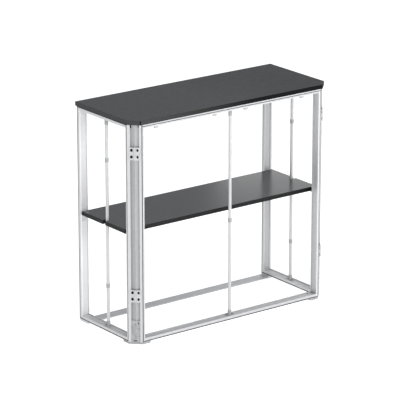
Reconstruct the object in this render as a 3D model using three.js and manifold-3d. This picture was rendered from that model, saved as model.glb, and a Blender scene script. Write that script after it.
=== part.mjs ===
import * as THREE from 'three';
import { mergeVertices } from 'three/addons/utils/BufferGeometryUtils.js';
import Module from 'manifold-3d';

// Exhibition counter: three aluminium frames, hinged at two cut front corners and open at the back,
// with a tabletop, a mid shelf, a slim pole in the middle of each frame and a flat bar along the back.
// Millimetres. +X runs along the front, +Y to the back, +Z up.
// The origin is on the floor, under the middle of the tabletop.

// Clearances
const SEAT_GAP = 0.3;
const MITRE_GAP = 0.3;
const CORNER_GAP = 0.5;
const PIN_CLEARANCE = 0.07;

// Tabletop and shelf boards
const TOP_WIDTH = 1070;
const TOP_DEPTH = 426;
const TOP_HEIGHT = 1000;
const TOP_THICKNESS = 19;
const TOP_CORNER_CUT = 44;
const TOP_OVERHANG = 5;
const BOARD_BEVEL = 0.7;
const SHELF_THICKNESS = 19;
const SHELF_HEIGHT = 510;
const SHELF_END_INSET = 4;
const SHELF_FRONT_CLEARANCE = 15;
const SHELF_BACK_CLEARANCE = 8;
const NOTCH_CLEARANCE = 1.5;
const NOTCH_SWING_CLEARANCE = 1.5;

// Straight frame profile: face seen from outside, depth through the frame, a groove along both faces
// near the rim that holds the edge of the fabric, a channel facing the frame's opening, and one long chamber
const PROFILE_FACE = 17;
const PROFILE_DEPTH = 42;
const GROOVE_RIM = 1.2;
const GROOVE_WIDTH = 4;
const GROOVE_DEPTH = 8;
const CHANNEL_LIP = 8.5;
const CHANNEL_WIDTH = 29;
const CHANNEL_DEPTH = 3;
const PROFILE_WALL = 1.8;

// Corner stile: a face cut at 45 degrees, with a lip, a deep groove beside it and a hollow whose floor
// rises to a low ridge at the joint with its neighbour, and a strip in line with the panel
const CORNER_CUT = 45;
const CORNER_STRIP = 11;
const CORNER_LIP = 12.5;
const FRONT_RIM_SET_BACK = 1.8;
const LIP_GROOVE_WIDTH = 4.2;
const LIP_GROOVE_DEPTH = 9;
const HOLLOW_SIDE_DEPTH = 8;
const HOLLOW_MIDDLE_DEPTH = 2.5;
const INFILL_HEIGHT = 98;
const INFILL_MIDDLE_DEPTH = 0.5;
const INFILL_SIDE_DEPTH = 3;
const INFILL_THICKNESS = 2;

// Pieces on the floor
const FOOT_THICKNESS = 10;
const FOOT_INSET = 1.5;
const FOOT_LEG = 86;
const BAR_WIDTH = 58;
const BAR_THICKNESS = 3.5;
const BAR_PAD_LENGTH = 42;
const BAR_END_INSET = 1.5;
const BAR_ROUND = 3;

// Hinges
const LEAF_WIDTH = 24;
const LEAF_THICKNESS = 2.5;
const LEAF_PAD_HEIGHT = 40;
const HINGE_HEIGHT = 56;
const BARREL_WALL = 1.53;
const PIN_RADIUS = 1.8;
const PIN_HEAD_RADIUS = 3;
const PIN_HEAD_HEIGHT = 1.5;
const PIN_TAIL = 1;
const KNUCKLES = 5;
const KNUCKLE_GAP = 0.4;
const PAD_START_GAP = 1.6;
const UPPER_HINGE_DROP = 127;
const LOWER_HINGE_RISE = 209;

// Poles
const POLE_RADIUS = 7;
const POLE_WALL = 1.2;
const TUBE_END_GAP = 0.4;
const COLLAR_WALL = 1.2;
const COLLAR_LENGTH = 18;
const FRONT_COLLAR_RISE = 453;
const LOWER_COLLAR_RISE = 200;
const UPPER_COLLAR_DROP = 203;
const SOCKET_WALL = 2;
const BOTTOM_SOCKET_HEIGHT = 24;
const TOP_SOCKET_HEIGHT = 31;
const SOCKET_FLOOR = 2;
const SOCKET_PLATE_LENGTH = 36;

// Turn buttons under the front top rail
const BUTTON_END_OFFSET = 135;
const BUTTON_MIDDLE_SPACING = 168;
const BUTTON_DISC_RADIUS = 8;
const BUTTON_DISC_HEIGHT = 4;
const BUTTON_WING_LENGTH = 19;
const BUTTON_WING_WIDTH = 7;
const BUTTON_WING_HEIGHT = 14;
const BUTTON_SHANK_RADIUS = 2.7;

// Shelf brackets
const BRACKET_LEG = 30;
const BRACKET_ARM = 34;
const BRACKET_THICKNESS = 3;

const ROUND_STEPS = 24;

// Places that follow from the sizes above
const frameX = TOP_WIDTH / 2 - TOP_OVERHANG;
const frameY = TOP_DEPTH / 2 - TOP_OVERHANG;
const frameBase = FOOT_THICKNESS + SEAT_GAP;
const frameTop = TOP_HEIGHT - TOP_THICKNESS - SEAT_GAP;
const cornerWidth = CORNER_CUT + CORNER_STRIP;
const hollowHalf = CORNER_CUT / Math.SQRT2 - CORNER_LIP;
const floorHalf = hollowHalf - LIP_GROOVE_WIDTH;
const channelMiddle = CHANNEL_LIP + CHANNEL_WIDTH / 2;
const channelFace = PROFILE_FACE - CHANNEL_DEPTH;
const sidePoleX = frameX - channelMiddle;
const sidePoleY = (cornerWidth - PROFILE_FACE) / 2;
const frontPoleY = -frameY + channelMiddle;
const barrelRadius = PIN_RADIUS + PIN_CLEARANCE + BARREL_WALL;
const pinOut = SEAT_GAP + barrelRadius;
const fittedWidth = CHANNEL_WIDTH - 2 * SEAT_GAP;

const wasm = await Module();
wasm.setup();

const anodised = new THREE.MeshStandardMaterial({ color: 0xd2d3d5, roughness: 0.36, metalness: 0.85 });
const laminate = new THREE.MeshStandardMaterial({ color: 0x2b2b2c, roughness: 0.42, metalness: 0 });
const paleTube = new THREE.MeshStandardMaterial({ color: 0xdedfe0, roughness: 0.4, metalness: 0.6 });
const greyPlastic = new THREE.MeshStandardMaterial({ color: 0x8d8f91, roughness: 0.55, metalness: 0 });
const zincSteel = new THREE.MeshStandardMaterial({ color: 0xb6b8bb, roughness: 0.34, metalness: 0.9 });
const greyPaint = new THREE.MeshStandardMaterial({ color: 0xa9abad, roughness: 0.5, metalness: 0.3 });

function toSolid(geometry) {
  const plain = geometry.clone();
  plain.deleteAttribute('normal');
  plain.deleteAttribute('uv');
  const merged = mergeVertices(plain, 1e-4);
  const vertProperties = new Float32Array(merged.attributes.position.array);
  const triVerts = new Uint32Array(merged.index.array);
  return new wasm.Manifold(new wasm.Mesh({ numProp: 3, vertProperties, triVerts }));
}

function toGeometry(solid) {
  const mesh = solid.getMesh();
  const geometry = new THREE.BufferGeometry();
  geometry.setAttribute('position', new THREE.BufferAttribute(new Float32Array(mesh.vertProperties), 3));
  geometry.setIndex(new THREE.BufferAttribute(new Uint32Array(mesh.triVerts), 1));
  geometry.computeVertexNormals();
  return geometry;
}

function box(x0, x1, y0, y1, z0, z1) {
  const geometry = new THREE.BoxGeometry(Math.abs(x1 - x0), y1 - y0, z1 - z0);
  return geometry.translate((x0 + x1) / 2, (y0 + y1) / 2, (z0 + z1) / 2);
}

function upright(radius, z0, z1, x = 0, y = 0) {
  const geometry = new THREE.CylinderGeometry(radius, radius, z1 - z0, ROUND_STEPS);
  return geometry.rotateX(Math.PI / 2).translate(x, y, (z0 + z1) / 2);
}

// The corners of an outline always run counter-clockwise
function outline(points) {
  const corners = points.map(([x, y]) => new THREE.Vector2(x, y));
  if (THREE.ShapeUtils.isClockWise(corners)) corners.reverse();
  return new THREE.Shape(corners);
}

function plate(points, z0, z1, chamber = []) {
  const shape = outline(points);
  if (chamber.length > 0) shape.holes.push(outline(chamber));
  const geometry = new THREE.ExtrudeGeometry(shape, { depth: z1 - z0, bevelEnabled: false });
  return geometry.translate(0, 0, z0);
}

function board(points, z0, z1) {
  const geometry = new THREE.ExtrudeGeometry(outline(points), {
    depth: z1 - z0 - 2 * BOARD_BEVEL,
    bevelEnabled: true,
    bevelThickness: BOARD_BEVEL,
    bevelSize: BOARD_BEVEL,
    bevelOffset: -BOARD_BEVEL,
    bevelSegments: 1,
  });
  return geometry.translate(0, 0, z0 + BOARD_BEVEL);
}

// A ring turned about Z, closed on itself
function ring(inner, outer, z0, z1) {
  const profile = [[inner, z0], [outer, z0], [outer, z1], [inner, z1], [inner, z0]];
  const geometry = new THREE.LatheGeometry(profile.map(([r, z]) => new THREE.Vector2(r, z)), ROUND_STEPS);
  return geometry.rotateX(Math.PI / 2);
}

function addMesh(parent, name, geometry, material) {
  const mesh = new THREE.Mesh(geometry, material.clone());
  mesh.name = name;
  parent.add(mesh);
  return mesh;
}

// Section of the straight profile: x from the rim to the opening, y from the outer face inwards
function profileSection() {
  const grooveEnd = GROOVE_RIM + GROOVE_WIDTH;
  const channelEnd = CHANNEL_LIP + CHANNEL_WIDTH;
  return [
    [0, 0],
    [GROOVE_RIM, 0],
    [GROOVE_RIM, GROOVE_DEPTH],
    [grooveEnd, GROOVE_DEPTH],
    [grooveEnd, 0],
    [PROFILE_FACE, 0],
    [PROFILE_FACE, CHANNEL_LIP],
    [channelFace, CHANNEL_LIP],
    [channelFace, channelEnd],
    [PROFILE_FACE, channelEnd],
    [PROFILE_FACE, PROFILE_DEPTH],
    [grooveEnd, PROFILE_DEPTH],
    [grooveEnd, PROFILE_DEPTH - GROOVE_DEPTH],
    [GROOVE_RIM, PROFILE_DEPTH - GROOVE_DEPTH],
    [GROOVE_RIM, PROFILE_DEPTH],
    [0, PROFILE_DEPTH],
  ];
}

// The chamber runs behind the channel and reaches to the rim between the two grooves
function profileChamber() {
  const nearRim = PROFILE_WALL;
  const behindGrooves = GROOVE_RIM + GROOVE_WIDTH + PROFILE_WALL;
  const behindChannel = channelFace - PROFILE_WALL;
  const betweenGrooves = GROOVE_DEPTH + PROFILE_WALL;
  return [
    [nearRim, betweenGrooves],
    [nearRim, PROFILE_DEPTH - betweenGrooves],
    [behindGrooves, PROFILE_DEPTH - betweenGrooves],
    [behindGrooves, PROFILE_DEPTH - PROFILE_WALL],
    [behindChannel, PROFILE_DEPTH - PROFILE_WALL],
    [behindChannel, PROFILE_WALL],
    [behindGrooves, PROFILE_WALL],
    [behindGrooves, betweenGrooves],
  ];
}

// A length of profile. A mitred end is cut at 45 degrees, longest at the rim.
function profileBar(length, mitredStart, mitredEnd) {
  const geometry = plate(profileSection(), 0, length, profileChamber());
  const position = geometry.attributes.position;
  const setBack = MITRE_GAP / Math.SQRT2;
  for (let i = 0; i < position.count; i += 1) {
    const fromRim = position.getX(i);
    const atStart = position.getZ(i) < length / 2;
    if (atStart && mitredStart) position.setZ(i, fromRim + setBack);
    if (!atStart && mitredEnd) position.setZ(i, length - fromRim - setBack);
  }
  geometry.computeVertexNormals();
  return geometry;
}

// Turns a bar so that its section's x and y run along the given directions
function placeBar(mesh, towardOpening, inward, start) {
  const along = new THREE.Vector3().crossVectors(towardOpening, inward);
  const turn = new THREE.Matrix4().makeBasis(towardOpening, inward, along);
  mesh.quaternion.setFromRotationMatrix(turn);
  mesh.position.copy(start);
}

// A point in the section, from its distance to the middle of the cut face and its depth behind that face
function onCut(fromMiddle, depth) {
  const half = CORNER_CUT / 2;
  return [half + (depth - fromMiddle) / Math.SQRT2, half + (depth + fromMiddle) / Math.SQRT2];
}

// How deep the hollow's floor lies behind the cut face
function floorDepth(fromMiddle) {
  return HOLLOW_MIDDLE_DEPTH - (HOLLOW_MIDDLE_DEPTH - HOLLOW_SIDE_DEPTH) * (fromMiddle / floorHalf);
}

// The joining face reaches this depth where it meets a line at the given distance from the end face
function joinDepth(fromEnd, fromMiddle) {
  return (fromEnd - CORNER_CUT / 2) * Math.SQRT2 + fromMiddle;
}

// Section of a corner stile: x inward from the frame's end face, y along the frame from its corner. The rim
// between the lip and the groove may be set back from the end face, which moves the groove to the corner.
function cornerSection(rimSetBack) {
  const join = CORNER_GAP / 2;
  const rimStart = CORNER_CUT - rimSetBack;
  const grooveStart = rimStart + GROOVE_RIM;
  const grooveEnd = grooveStart + GROOVE_WIDTH;
  const channelEnd = CHANNEL_LIP + CHANNEL_WIDTH;
  return [
    [0, cornerWidth],
    [0, grooveEnd],
    [GROOVE_DEPTH, grooveEnd],
    [GROOVE_DEPTH, grooveStart],
    [rimSetBack, grooveStart],
    [rimSetBack, rimStart],
    onCut(hollowHalf, 0),
    onCut(hollowHalf, LIP_GROOVE_DEPTH),
    onCut(floorHalf, LIP_GROOVE_DEPTH),
    onCut(floorHalf, floorDepth(floorHalf)),
    onCut(join, floorDepth(join)),
    onCut(join, joinDepth(PROFILE_DEPTH, join)),
    [PROFILE_DEPTH, cornerWidth],
    [channelEnd, cornerWidth],
    [channelEnd, cornerWidth - CHANNEL_DEPTH],
    [CHANNEL_LIP, cornerWidth - CHANNEL_DEPTH],
    [CHANNEL_LIP, cornerWidth],
  ];
}

// The corner stile's chamber keeps one wall behind its grooves, its hollow, its joining face and its channel
function cornerChamber() {
  const left = GROOVE_DEPTH + PROFILE_WALL;
  const right = PROFILE_DEPTH - PROFILE_WALL;
  const far = cornerWidth - CHANNEL_DEPTH - PROFILE_WALL;
  const behindGroove = LIP_GROOVE_DEPTH + PROFILE_WALL;
  const join = CORNER_GAP / 2 + PROFILE_WALL;
  const besideGroove = floorHalf - PROFILE_WALL;
  const slant = PROFILE_WALL * Math.SQRT2;
  return [
    [left, far],
    [left, CORNER_CUT + behindGroove * Math.SQRT2 - left],
    onCut(besideGroove, behindGroove),
    onCut(besideGroove, floorDepth(besideGroove) + slant),
    onCut(join, floorDepth(join) + slant),
    onCut(join, joinDepth(right, join)),
    [right, far],
  ];
}

const X = new THREE.Vector3(1, 0, 0);
const Y = new THREE.Vector3(0, 1, 0);
const Z = new THREE.Vector3(0, 0, 1);
const minus = (v) => v.clone().negate();

// side is -1 at the left and 1 at the right
function cornerStile(parent, name, side, onSideFrame) {
  const onCorner = ([across, along]) => {
    const fromEnd = onSideFrame ? across : along;
    const fromFront = onSideFrame ? along : across;
    return [side * (frameX - fromEnd), -frameY + fromFront];
  };
  const rimSetBack = onSideFrame ? 0 : FRONT_RIM_SET_BACK;
  const section = cornerSection(rimSetBack).map(onCorner);
  const chamber = cornerChamber().map(onCorner);
  let stile = toSolid(plate(section, frameBase, frameTop, chamber));
  // The two rails' grooves run on across the strip, into the stile's own groove
  const inGroove = CORNER_CUT - rimSetBack + GROOVE_RIM + GROOVE_WIDTH / 2;
  const pastEnd = cornerWidth + 1;
  const across = [
    [-1, inGroove],
    [GROOVE_DEPTH, inGroove],
    [GROOVE_DEPTH, pastEnd],
    [-1, pastEnd],
  ].map(onCorner);
  for (const low of [frameBase + GROOVE_RIM, frameTop - GROOVE_RIM - GROOVE_WIDTH]) {
    stile = stile.subtract(toSolid(plate(across, low, low + GROOVE_WIDTH)));
  }
  addMesh(parent, name, toGeometry(stile), anodised);
}

function frontRails(parent) {
  const reach = frameX - cornerWidth - SEAT_GAP;
  const bottom = addMesh(parent, 'front_bottom_rail', profileBar(2 * reach, false, false), anodised);
  placeBar(bottom, Z, Y, new THREE.Vector3(reach, -frameY, frameBase));
  let rail = toSolid(profileBar(2 * reach, false, false));
  for (const x of buttonPlaces()) {
    const hole = upright(BUTTON_SHANK_RADIUS + SEAT_GAP, -1, PROFILE_FACE + 1);
    hole.rotateY(Math.PI / 2).translate(0, channelMiddle, x + reach);
    rail = rail.subtract(toSolid(hole));
  }
  const top = addMesh(parent, 'front_top_rail', toGeometry(rail), anodised);
  placeBar(top, minus(Z), Y, new THREE.Vector3(-reach, -frameY, frameTop));
}

function sideBars(parent, word, side) {
  const start = -frameY + cornerWidth + SEAT_GAP;
  const length = frameY - start;
  const inward = side < 0 ? X : minus(X);
  const face = side * frameX;
  const runsBack = side < 0;
  const bottom = addMesh(parent, `${word}_bottom_rail`, profileBar(length, !runsBack, runsBack), anodised);
  placeBar(bottom, Z, inward, new THREE.Vector3(face, runsBack ? start : frameY, frameBase));
  const top = addMesh(parent, `${word}_top_rail`, profileBar(length, runsBack, !runsBack), anodised);
  placeBar(top, minus(Z), inward, new THREE.Vector3(face, runsBack ? frameY : start, frameTop));
  const stile = addMesh(parent, `${word}_back_stile`, profileBar(frameTop - frameBase, true, true), anodised);
  placeBar(stile, minus(Y), inward, new THREE.Vector3(face, frameY, runsBack ? frameBase : frameTop));
}

function tabletop(parent) {
  const x = TOP_WIDTH / 2;
  const y = TOP_DEPTH / 2;
  const cut = TOP_CORNER_CUT;
  const points = [[-x + cut, -y], [x - cut, -y], [x, -y + cut], [x, y], [-x, y], [-x, -y + cut]];
  addMesh(parent, 'tabletop', board(points, TOP_HEIGHT - TOP_THICKNESS, TOP_HEIGHT), laminate);
}

// The notches leave room for the side poles, and a little more towards the front, where the poles swing out
function shelf(parent) {
  const x = frameX - SHELF_END_INSET;
  const front = -frameY + cornerWidth + SHELF_FRONT_CLEARANCE;
  const back = frameY - PROFILE_FACE - SHELF_BACK_CLEARANCE;
  const notchX = sidePoleX - POLE_RADIUS - NOTCH_CLEARANCE;
  const notchBack = sidePoleY + POLE_RADIUS + NOTCH_CLEARANCE;
  const notchFront = sidePoleY - POLE_RADIUS - NOTCH_CLEARANCE - NOTCH_SWING_CLEARANCE;
  const points = [
    [-x, front], [x, front],
    [x, notchFront], [notchX, notchFront], [notchX, notchBack], [x, notchBack],
    [x, back], [-x, back],
    [-x, notchBack], [-notchX, notchBack], [-notchX, notchFront], [-x, notchFront],
  ];
  addMesh(parent, 'shelf', board(points, SHELF_HEIGHT - SHELF_THICKNESS, SHELF_HEIGHT), laminate);
}

function footPlate(parent, name, side) {
  const cut = CORNER_CUT + FOOT_INSET;
  const deep = PROFILE_DEPTH;
  const points = [
    [FOOT_INSET, cut - FOOT_INSET], [cut - FOOT_INSET, FOOT_INSET],
    [FOOT_LEG, FOOT_INSET], [FOOT_LEG, deep], [deep, deep], [deep, FOOT_LEG], [FOOT_INSET, FOOT_LEG],
  ].map(([fromEnd, fromFront]) => [side * (frameX - fromEnd), -frameY + fromFront]);
  addMesh(parent, name, plate(points, 0, FOOT_THICKNESS), greyPaint);
}

function roundedRectangle(x0, x1, y0, y1, radius) {
  const shape = new THREE.Shape();
  shape.moveTo(x0 + radius, y0);
  shape.lineTo(x1 - radius, y0);
  shape.absarc(x1 - radius, y0 + radius, radius, -Math.PI / 2, 0);
  shape.lineTo(x1, y1 - radius);
  shape.absarc(x1 - radius, y1 - radius, radius, 0, Math.PI / 2);
  shape.lineTo(x0 + radius, y1);
  shape.absarc(x0 + radius, y1 - radius, radius, Math.PI / 2, Math.PI);
  shape.lineTo(x0, y0 + radius);
  shape.absarc(x0 + radius, y0 + radius, radius, Math.PI, Math.PI * 1.5);
  return shape;
}

// A flat bar whose ends carry pads, on which the side frames stand
function backBar(parent) {
  const x = frameX - BAR_END_INSET;
  const front = frameY - BAR_WIDTH;
  const slab = (x0, x1, height) => toSolid(new THREE.ExtrudeGeometry(
    roundedRectangle(x0, x1, front, frameY, BAR_ROUND),
    { depth: height, bevelEnabled: false, curveSegments: 3 },
  ));
  const leftPad = slab(-x, -x + BAR_PAD_LENGTH, FOOT_THICKNESS);
  const rightPad = slab(x - BAR_PAD_LENGTH, x, FOOT_THICKNESS);
  addMesh(parent, 'back_bar', toGeometry(slab(-x, x, BAR_THICKNESS).add(leftPad).add(rightPad)), anodised);
}

// In a corner's own frame, x runs along the cut face, y points out of it, and 0 is its middle.
// A piece that rests on the hollow's floor, from its outer outline: all on the side of x that sign names
function onFloor(sign, outerPoints, z0, z1) {
  const near = outerPoints[0][0];
  const far = floorHalf - SEAT_GAP;
  const lift = 2 * SEAT_GAP;
  const points = [...outerPoints, [far, lift - floorDepth(far)], [near, lift - floorDepth(near)]];
  return plate(points.map(([x, y]) => [sign * x, y]), z0, z1);
}

// A leaf lies on the lip, and the block behind it reaches to the hollow's floor
function hingeLeaf(sign, firstKnuckle) {
  const half = HINGE_HEIGHT / 2;
  const plateStart = barrelRadius + KNUCKLE_GAP;
  const outer = SEAT_GAP + LEAF_THICKNESS;
  const padHalf = LEAF_PAD_HEIGHT / 2;
  let leaf = toSolid(box(sign * plateStart, sign * LEAF_WIDTH, SEAT_GAP, outer, -half, half));
  const padFace = [[barrelRadius + PAD_START_GAP, outer], [floorHalf - SEAT_GAP, outer]];
  leaf = leaf.add(toSolid(onFloor(sign, padFace, -padHalf, padHalf)));
  const pitch = HINGE_HEIGHT / KNUCKLES;
  for (let i = firstKnuckle; i < KNUCKLES; i += 2) {
    const low = -half + i * pitch + (i > 0 ? KNUCKLE_GAP / 2 : 0);
    const high = -half + (i + 1) * pitch - (i < KNUCKLES - 1 ? KNUCKLE_GAP / 2 : 0);
    leaf = leaf.add(toSolid(box(0, sign * (plateStart + KNUCKLE_GAP), SEAT_GAP, outer, low, high)));
    leaf = leaf.add(toSolid(upright(barrelRadius, low, high, 0, pinOut)));
  }
  const bore = upright(PIN_RADIUS + PIN_CLEARANCE, -half - 1, half + 1, 0, pinOut);
  return toGeometry(leaf.subtract(toSolid(bore)));
}

function hingePin() {
  const half = HINGE_HEIGHT / 2;
  const profile = [
    [0, -half - PIN_TAIL],
    [PIN_RADIUS, -half - PIN_TAIL],
    [PIN_RADIUS, half + SEAT_GAP],
    [PIN_HEAD_RADIUS, half + SEAT_GAP],
    [PIN_HEAD_RADIUS, half + SEAT_GAP + PIN_HEAD_HEIGHT],
    [0, half + SEAT_GAP + PIN_HEAD_HEIGHT],
  ];
  const geometry = new THREE.LatheGeometry(profile.map(([r, z]) => new THREE.Vector2(r, z)), ROUND_STEPS);
  return geometry.rotateX(Math.PI / 2).translate(0, pinOut, 0);
}

// Half of the piece that covers a corner's hollow at the bottom: it fills the hollow, bridges the groove,
// and falls away a little from the middle to the lip
function infillHalf(sign) {
  const near = CORNER_GAP / 2;
  const far = hollowHalf - SEAT_GAP;
  const points = [
    [near, -INFILL_MIDDLE_DEPTH],
    [far, -INFILL_SIDE_DEPTH],
    [far, -INFILL_SIDE_DEPTH - INFILL_THICKNESS],
    [floorHalf, -INFILL_SIDE_DEPTH - INFILL_THICKNESS],
  ];
  return onFloor(sign, points, frameBase, frameBase + INFILL_HEIGHT);
}

// Everything on one cut corner. x is positive towards the left frame at the left corner,
// and towards the front frame at the right corner.
function cornerFittings(parent, word, side) {
  const corner = new THREE.Group();
  corner.position.set(side * (frameX - CORNER_CUT / 2), -frameY + CORNER_CUT / 2, 0);
  corner.rotation.z = side < 0 ? Math.PI * 0.75 : Math.PI * 1.25;
  parent.add(corner);
  const positive = side < 0 ? 'side' : 'front';
  const negative = side < 0 ? 'front' : 'side';
  const heights = { upper: frameTop - UPPER_HINGE_DROP, lower: frameBase + LOWER_HINGE_RISE };
  for (const [level, height] of Object.entries(heights)) {
    const hinge = new THREE.Group();
    hinge.position.z = height;
    corner.add(hinge);
    addMesh(hinge, `${word}_${level}_hinge_${positive}_leaf`, hingeLeaf(1, 0), zincSteel);
    addMesh(hinge, `${word}_${level}_hinge_${negative}_leaf`, hingeLeaf(-1, 1), zincSteel);
    addMesh(hinge, `${word}_${level}_hinge_pin`, hingePin(), zincSteel);
  }
  for (const [half, sign] of [[positive, 1], [negative, -1]]) {
    addMesh(corner, `${word}_corner_infill_${half}`, infillHalf(sign), greyPaint);
  }
}

// A socket on a rail: a plate seated in the rail's channel and a sleeve round the pole's end
function poleSocket(height, plateAlongY) {
  const bore = POLE_RADIUS + SEAT_GAP;
  const halfLength = SOCKET_PLATE_LENGTH / 2;
  const halfWidth = fittedWidth / 2;
  const x = plateAlongY ? halfWidth : halfLength;
  const y = plateAlongY ? halfLength : halfWidth;
  const base = toSolid(box(-x, x, -y, y, 0, CHANNEL_DEPTH));
  const sleeve = toSolid(upright(bore + SOCKET_WALL, 0, height));
  const hole = toSolid(upright(bore, SOCKET_FLOOR, height + 1));
  return toGeometry(base.add(sleeve).subtract(hole));
}

// A pole: sockets above and below, and tubes that meet inside collars
function pole(parent, word, x, y, collars, tubeWords, plateAlongY) {
  const low = frameBase + channelFace + SEAT_GAP;
  const high = frameTop - channelFace - SEAT_GAP;
  const group = new THREE.Group();
  group.position.set(x, y, 0);
  parent.add(group);
  const bottomSocket = poleSocket(BOTTOM_SOCKET_HEIGHT, plateAlongY);
  const bottom = addMesh(group, `${word}_pole_bottom_socket`, bottomSocket, greyPlastic);
  bottom.position.z = low;
  const topSocket = poleSocket(TOP_SOCKET_HEIGHT, plateAlongY);
  const top = addMesh(group, `${word}_pole_top_socket`, topSocket, greyPlastic);
  top.rotation.x = Math.PI;
  top.position.z = high;
  const ends = [low + SOCKET_FLOOR + SEAT_GAP];
  for (const height of collars) ends.push(height - TUBE_END_GAP / 2, height + TUBE_END_GAP / 2);
  ends.push(high - SOCKET_FLOOR - SEAT_GAP);
  tubeWords.forEach((tubeWord, i) => {
    const tube = ring(POLE_RADIUS - POLE_WALL, POLE_RADIUS, ends[2 * i], ends[2 * i + 1]);
    addMesh(group, `${word}_pole_${tubeWord}_tube`, tube, paleTube);
  });
  collars.forEach((height, i) => {
    const inner = POLE_RADIUS + SEAT_GAP;
    const half = COLLAR_LENGTH / 2;
    const collar = ring(inner, inner + COLLAR_WALL, height - half, height + half);
    const collarWord = collars.length === 1 ? 'collar' : ['lower_collar', 'upper_collar'][i];
    addMesh(group, `${word}_pole_${collarWord}`, collar, greyPlastic);
  });
}

function buttonPlaces() {
  const outer = frameX - BUTTON_END_OFFSET;
  const inner = BUTTON_MIDDLE_SPACING / 2;
  return [-outer, -inner, inner, outer];
}

// A turn button: a shank through the rail, a disc in the channel and a wing below it
function turnButton() {
  const discTop = -SEAT_GAP;
  const discLow = discTop - BUTTON_DISC_HEIGHT;
  const wingLow = discLow - BUTTON_WING_HEIGHT;
  const halfLength = BUTTON_WING_LENGTH / 2;
  const halfWidth = BUTTON_WING_WIDTH / 2;
  const disc = toSolid(upright(BUTTON_DISC_RADIUS, discLow, discTop));
  const wing = toSolid(box(-halfLength, halfLength, -halfWidth, halfWidth, wingLow, discLow + 1));
  const shank = toSolid(upright(BUTTON_SHANK_RADIUS, discLow, channelFace - SEAT_GAP));
  return toGeometry(disc.add(wing).add(shank));
}

function turnButtons(parent) {
  buttonPlaces().forEach((x, i) => {
    const button = addMesh(parent, `turn_button_${i + 1}`, turnButton(), greyPlastic);
    button.position.set(x, frontPoleY, frameTop - channelFace);
  });
}

// An angle bracket: its leg stands in a stile's channel and its arm carries the shelf
function shelfBracket(parent, name, side, atBack) {
  const points = [
    [0, 0], [0, -BRACKET_LEG], [BRACKET_THICKNESS, -BRACKET_LEG],
    [BRACKET_THICKNESS, -BRACKET_THICKNESS], [BRACKET_ARM, -BRACKET_THICKNESS], [BRACKET_ARM, 0],
  ];
  const geometry = plate(points, -fittedWidth / 2, fittedWidth / 2).rotateX(Math.PI / 2);
  const bracket = addMesh(parent, name, geometry, zincSteel);
  const frontFloor = -frameY + cornerWidth - CHANNEL_DEPTH + SEAT_GAP;
  const stileFloor = atBack ? frameY - channelFace - SEAT_GAP : frontFloor;
  bracket.rotation.z = atBack ? -Math.PI / 2 : Math.PI / 2;
  bracket.position.set(side * sidePoleX, stileFloor, SHELF_HEIGHT - SHELF_THICKNESS - SEAT_GAP);
}

function sideFrame(parent, word, side) {
  const frame = new THREE.Group();
  parent.add(frame);
  cornerStile(frame, `${word}_corner_stile`, side, true);
  sideBars(frame, word, side);
  const collars = [frameBase + LOWER_COLLAR_RISE, frameTop - UPPER_COLLAR_DROP];
  pole(frame, word, side * sidePoleX, sidePoleY, collars, ['lower', 'middle', 'upper'], true);
  shelfBracket(frame, `${word}_front_shelf_bracket`, side, false);
  shelfBracket(frame, `${word}_back_shelf_bracket`, side, true);
}

const counter = new THREE.Group();
tabletop(counter);
shelf(counter);
cornerStile(counter, 'front_left_stile', -1, false);
cornerStile(counter, 'front_right_stile', 1, false);
frontRails(counter);
pole(counter, 'front', 0, frontPoleY, [frameBase + FRONT_COLLAR_RISE], ['lower', 'upper'], false);
turnButtons(counter);
for (const [word, side] of [['left', -1], ['right', 1]]) {
  sideFrame(counter, word, side);
  cornerFittings(counter, word, side);
  footPlate(counter, `${word}_foot_plate`, side);
}
backBar(counter);

export default counter;
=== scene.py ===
import math

import bmesh
import bpy
from mathutils import Matrix, Vector
from mathutils.bvhtree import BVHTree


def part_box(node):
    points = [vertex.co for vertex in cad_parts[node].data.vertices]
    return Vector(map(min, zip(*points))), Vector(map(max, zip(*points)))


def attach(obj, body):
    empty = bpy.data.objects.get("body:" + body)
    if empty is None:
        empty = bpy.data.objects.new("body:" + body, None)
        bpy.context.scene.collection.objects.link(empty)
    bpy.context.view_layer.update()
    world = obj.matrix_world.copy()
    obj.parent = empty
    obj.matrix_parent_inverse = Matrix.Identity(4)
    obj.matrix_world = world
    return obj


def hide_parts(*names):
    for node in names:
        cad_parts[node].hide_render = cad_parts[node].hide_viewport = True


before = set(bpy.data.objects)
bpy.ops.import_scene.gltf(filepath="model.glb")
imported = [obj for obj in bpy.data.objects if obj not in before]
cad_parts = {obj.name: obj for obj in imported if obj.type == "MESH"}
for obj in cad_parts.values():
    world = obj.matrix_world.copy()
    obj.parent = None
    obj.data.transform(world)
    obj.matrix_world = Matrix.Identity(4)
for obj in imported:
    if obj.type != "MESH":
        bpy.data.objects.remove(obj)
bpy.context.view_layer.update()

scene = bpy.context.scene

# Camera
# A long lens, far off, looks down a little on the front left corner, so upright edges stay nearly parallel.
# Its place was solved from the counter's own straight edges.
camera_turn = math.radians(-36.94)
camera_rise = math.radians(17.535)
camera_distance = 11.63
aim_offset = -0.01885
aim_height = 0.5075
aim = Vector((aim_offset * math.cos(camera_turn), aim_offset * math.sin(camera_turn), aim_height))
toward_camera = Vector((
    math.sin(camera_turn) * math.cos(camera_rise),
    -math.cos(camera_turn) * math.cos(camera_rise),
    math.sin(camera_rise),
))
lens = bpy.data.cameras.new("camera")
lens.lens = 237.65
lens.sensor_width = 36
lens.clip_end = 200
camera = bpy.data.objects.new("camera", lens)
camera.location = aim + toward_camera * camera_distance
camera.rotation_euler = (-toward_camera).to_track_quat("-Z", "Y").to_euler()
scene.collection.objects.link(camera)
scene.camera = camera
scene.view_settings.view_transform = "Standard"

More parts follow.
